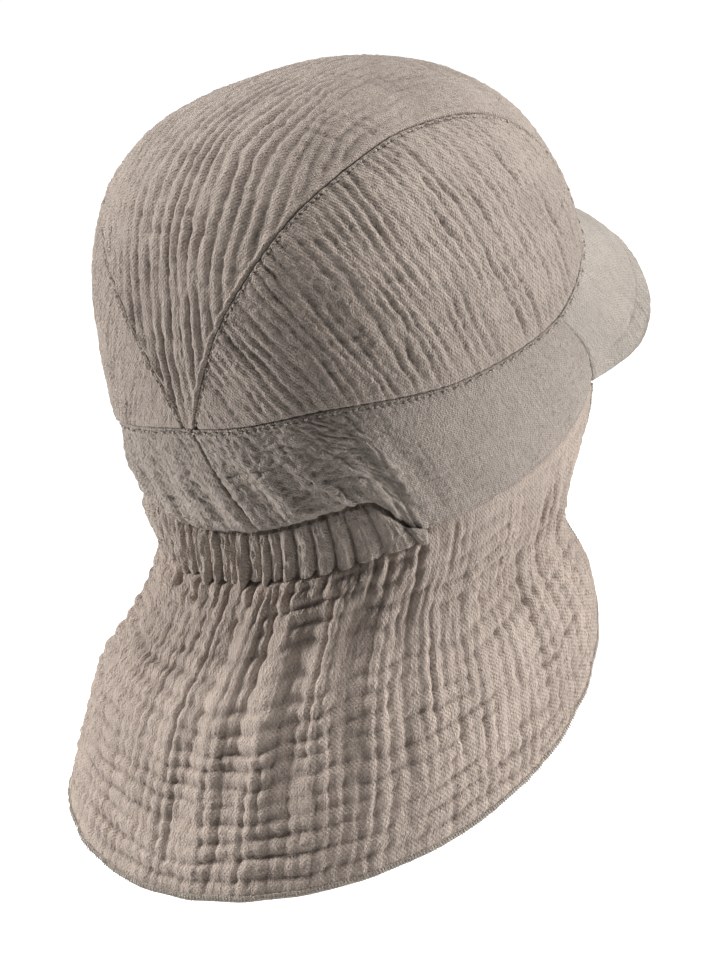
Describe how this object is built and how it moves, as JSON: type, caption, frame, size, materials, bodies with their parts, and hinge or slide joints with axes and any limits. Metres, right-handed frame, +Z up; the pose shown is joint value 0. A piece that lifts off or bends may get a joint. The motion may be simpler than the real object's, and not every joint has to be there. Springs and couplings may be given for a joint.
{
  "type": "legionnaire cap",
  "caption": "Small child's soft sun cap of crinkled cotton with a short peak, an elasticated nape and a long neck flap, in the form it has on a head.",
  "frame": {"origin": "middle of the head opening, level with the crown seam at the sides of the head", "axes": "+Z up out of the crown, -Y forwards over the peak, +X to the wearer's left"},
  "size_m": [0.1669, 0.2584, 0.2339],
  "materials": {
    "crown_cloth": "crinkled double gauze, matt",
    "band_cloth": "crinkled double gauze, matt",
    "peak_cloth": "double gauze laid flat over an insert, matt",
    "casing_cloth": "gathered double gauze, matt",
    "flap_cloth": "crinkled double gauze, matt",
    "edging_thread": "overlocked sewing thread, matt"
  },
  "bodies": {
    "root": {"crown_middle_panel": "crown_cloth", "crown_side_panel_left": "crown_cloth", "crown_side_panel_right": "crown_cloth", "band_left": "band_cloth", "band_right": "band_cloth", "peak": "peak_cloth", "elastic_casing": "casing_cloth", "neck_flap": "flap_cloth", "flap_edging": "edging_thread"}
  },
  "joints": []
}
